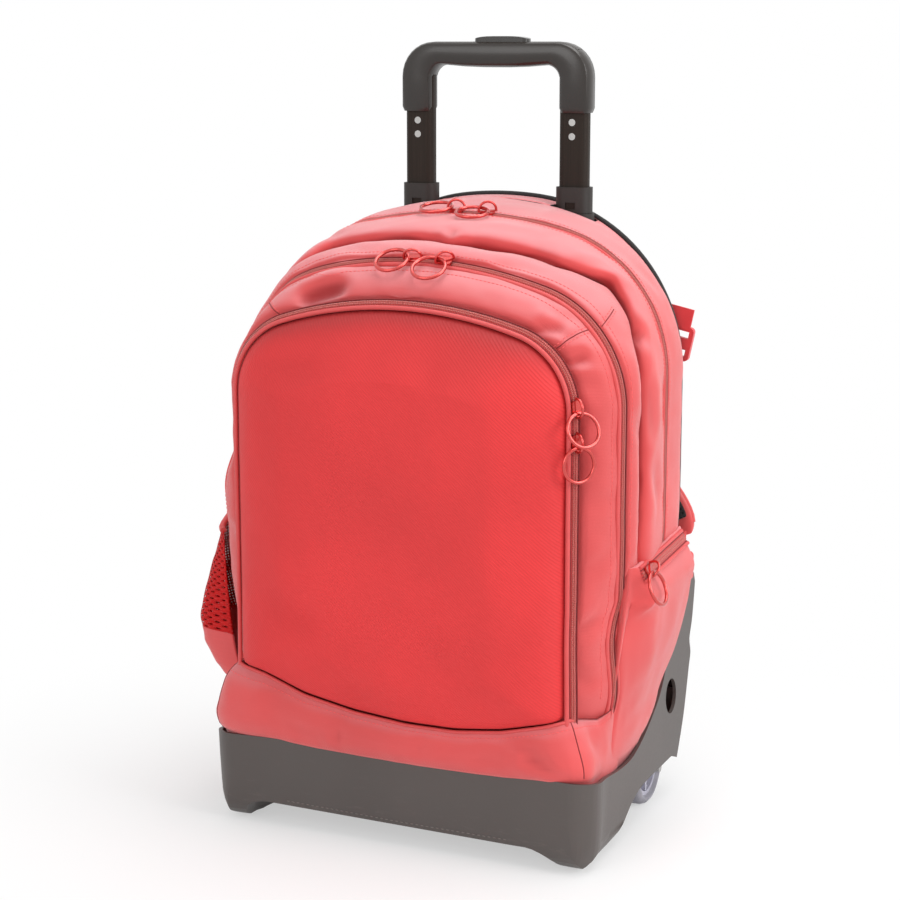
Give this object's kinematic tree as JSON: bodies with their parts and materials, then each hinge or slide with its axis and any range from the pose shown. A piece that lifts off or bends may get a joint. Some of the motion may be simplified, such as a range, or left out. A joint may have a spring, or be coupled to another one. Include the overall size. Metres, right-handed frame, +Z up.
{
  "type": "wheeled school backpack",
  "caption": "Soft zipped school backpack standing in a moulded base with wheels, a telescopic pull handle, padded shoulder straps, side pockets and ring zip pulls.",
  "frame": {"origin": "centre of the footprint on the ground, under the middle of the bag", "axes": "+Z up, the zipped front faces -Y, the straps and the handle are on the +Y side, +X is to the right seen from the front with -Y towards the viewer"},
  "size_m": [0.4179, 0.2906, 0.6645],
  "materials": {
    "base_moulding": "satin, warm dark grey, injection moulded",
    "guard_moulding": "matt, ribbed",
    "stiffener": "matt sheet",
    "steel": "zinc plated",
    "tyre": "satin, pale lavender grey",
    "hub": "satin",
    "tube_finish": "satin, very dark warm brown",
    "grip_plastic": "soft gloss, near black brown",
    "body_fabric": "woven polyester, coral",
    "mesh": "knitted mesh, coral",
    "back_padding": "padded spacer fabric, black",
    "webbing": "woven webbing, black",
    "zip_tape": "woven tape with coil teeth, taupe brown",
    "buckle": "moulded, coral",
    "pull": "glossy enamel, pinkish coral"
  },
  "bodies": {
    "bag": {"base_shell": "base_moulding", "base_board": "stiffener", "base_screws": "steel", "back_guard": "guard_moulding", "guard_screws": "steel", "wheel_axles": "steel", "outer_tube_left": "tube_finish", "outer_tube_right": "tube_finish", "tube_sockets": "guard_moulding", "outer_collars": "guard_moulding", "main_compartment": "body_fabric", "front_compartment": "body_fabric", "front_pocket": "body_fabric", "bottom_band": "body_fabric", "side_pocket": "body_fabric", "bottle_pocket": "mesh", "back_panel": "back_padding", "shoulder_strap_left": "body_fabric", "shoulder_strap_right": "body_fabric", "lower_webbing": "webbing", "strap_adjusters": "buckle", "side_buckles": "buckle", "haul_loop": "webbing", "zip_track_pocket": "zip_tape", "zip_track_front": "zip_tape", "zip_track_main": "zip_tape", "zip_track_side": "zip_tape"},
    "wheel_left": {"tyre_left": "tyre", "hub_left": "hub", "bushes_left": "steel"},
    "wheel_right": {"tyre_right": "tyre", "hub_right": "hub", "bushes_right": "steel"},
    "handle_middle": {"middle_tube_left": "tube_finish", "middle_tube_right": "tube_finish", "middle_collars": "grip_plastic"},
    "handle_top": {"inner_tube_left": "tube_finish", "inner_tube_right": "tube_finish", "end_plugs": "guard_moulding", "grip": "grip_plastic", "grip_rivets": "steel"},
    "release": {"release_button": "grip_plastic", "release_yoke": "steel"},
    "lock_pin_left": {"lock_pin_left": "steel"},
    "lock_pin_right": {"lock_pin_right": "steel"},
    "slider_main_left": {"slider_main_left": "pull"},
    "ring_main_left": {"ring_main_left": "pull"},
    "slider_main_right": {"slider_main_right": "pull"},
    "ring_main_right": {"ring_main_right": "pull"},
    "slider_front_left": {"slider_front_left": "pull"},
    "ring_front_left": {"ring_front_left": "pull"},
    "slider_front_right": {"slider_front_right": "pull"},
    "ring_front_right": {"ring_front_right": "pull"},
    "slider_pocket_upper": {"slider_pocket_upper": "pull"},
    "ring_pocket_upper": {"ring_pocket_upper": "pull"},
    "slider_pocket_lower": {"slider_pocket_lower": "pull"},
    "ring_pocket_lower": {"ring_pocket_lower": "pull"},
    "slider_side": {"slider_side": "pull"},
    "ring_side": {"ring_side": "pull"}
  },
  "joints": [
    {"name": "wheel_left_spin", "type": "hinge", "parent": "bag", "child": "wheel_left", "pos_m": [-0.148, 0.065, 0.034], "axis": [1, 0, 0], "continuous": true},
    {"name": "wheel_right_spin", "type": "hinge", "parent": "bag", "child": "wheel_right", "pos_m": [0.148, 0.065, 0.034], "axis": [1, 0, 0], "continuous": true},
    {"name": "middle_stage_slide", "type": "slide", "parent": "bag", "child": "handle_middle", "axis": [0, 0, 1], "range_m": [0, 0.2]},
    {"name": "grip_stage_slide", "type": "slide", "parent": "handle_middle", "child": "handle_top", "axis": [0, 0, 1], "range_m": [-0.06, 0.15]},
    {"name": "release_press", "type": "slide", "parent": "handle_top", "child": "release", "axis": [0, 0, -1], "range_m": [0, 0.004], "stiffness_N_per_m": 600, "springref_m": -0.004},
    {"name": "lock_pin_left_slide", "type": "slide", "parent": "handle_top", "child": "lock_pin_left", "axis": [0, 1, 0], "range_m": [0, 0.003]},
    {"name": "lock_pin_right_slide", "type": "slide", "parent": "handle_top", "child": "lock_pin_right", "axis": [0, 1, 0], "range_m": [0, 0.003]},
    {"name": "zip_main_left_run", "type": "hinge", "parent": "bag", "child": "slider_main_left", "pos_m": [0, 0.012, 0.12059], "axis": [0, 1, 0], "range_deg": [-11.5, 0]},
    {"name": "pull_main_left_swing", "type": "hinge", "parent": "slider_main_left", "child": "ring_main_left", "pos_m": [-0.00659, 0.01012, 0.52398], "axis": [-0.3436, 0.9159, 0.2074], "range_deg": [0, 100]},
    {"name": "zip_main_right_run", "type": "hinge", "parent": "bag", "child": "slider_main_right", "pos_m": [0, 0.012, 0.12059], "axis": [0, 1, 0], "range_deg": [0, 8]},
    {"name": "pull_main_right_swing", "type": "hinge", "parent": "slider_main_right", "child": "ring_main_right", "pos_m": [0.02238, 0.00871, 0.52308], "axis": [-0.933, 0.3334, 0.1353], "range_deg": [0, 100]},
    {"name": "zip_front_left_run", "type": "hinge", "parent": "bag", "child": "slider_front_left", "pos_m": [0, -0.075, 0.13615], "axis": [0, 1, 0], "range_deg": [-16, 0]},
    {"name": "pull_front_left_swing", "type": "hinge", "parent": "slider_front_left", "child": "ring_front_left", "pos_m": [-0.00658, -0.07863, 0.49054], "axis": [-0.519, 0.7191, 0.4621], "range_deg": [0, 100]},
    {"name": "zip_front_right_run", "type": "hinge", "parent": "bag", "child": "slider_front_right", "pos_m": [0, -0.075, 0.13615], "axis": [0, 1, 0], "range_deg": [0, 12]},
    {"name": "pull_front_right_swing", "type": "hinge", "parent": "slider_front_right", "child": "ring_front_right", "pos_m": [0.02232, -0.07984, 0.48911], "axis": [-0.924, 0.2869, 0.2528], "range_deg": [0, 100]},
    {"name": "zip_pocket_upper_run", "type": "hinge", "parent": "bag", "child": "slider_pocket_upper", "pos_m": [0.085, -0.1107, 0.37579], "axis": [0, 1, 0], "range_deg": [-60, 0]},
    {"name": "pull_pocket_upper_swing", "type": "hinge", "parent": "slider_pocket_upper", "child": "ring_pocket_upper", "pos_m": [0.15599, -0.1143, 0.37776], "axis": [-0.6293, -0.7756, -0.0495], "range_deg": [0, 90]},
    {"name": "zip_pocket_lower_run", "type": "slide", "parent": "bag", "child": "slider_pocket_lower", "axis": [0, 0, -1], "range_m": [0, 0.185]},
    {"name": "pull_pocket_lower_swing", "type": "hinge", "parent": "slider_pocket_lower", "child": "ring_pocket_lower", "pos_m": [0.15592, -0.1143, 0.3504], "axis": [-0.6313, -0.7756, 0], "range_deg": [0, 100]},
    {"name": "zip_side_run", "type": "slide", "parent": "bag", "child": "slider_side", "axis": [0, 0.9971, 0.0758], "range_m": [0, 0.09]},
    {"name": "pull_side_swing", "type": "hinge", "parent": "slider_side", "child": "ring_side", "pos_m": [0.19727, -0.04887, 0.24058], "axis": [-0.1542, -0.9686, 0.1949], "range_deg": [0, 90]}
  ],
  "couplings": [
    {"joint": "lock_pin_left_slide", "follows": "release_press", "ratio": 0.75},
    {"joint": "lock_pin_right_slide", "follows": "release_press", "ratio": 0.75}
  ]
}
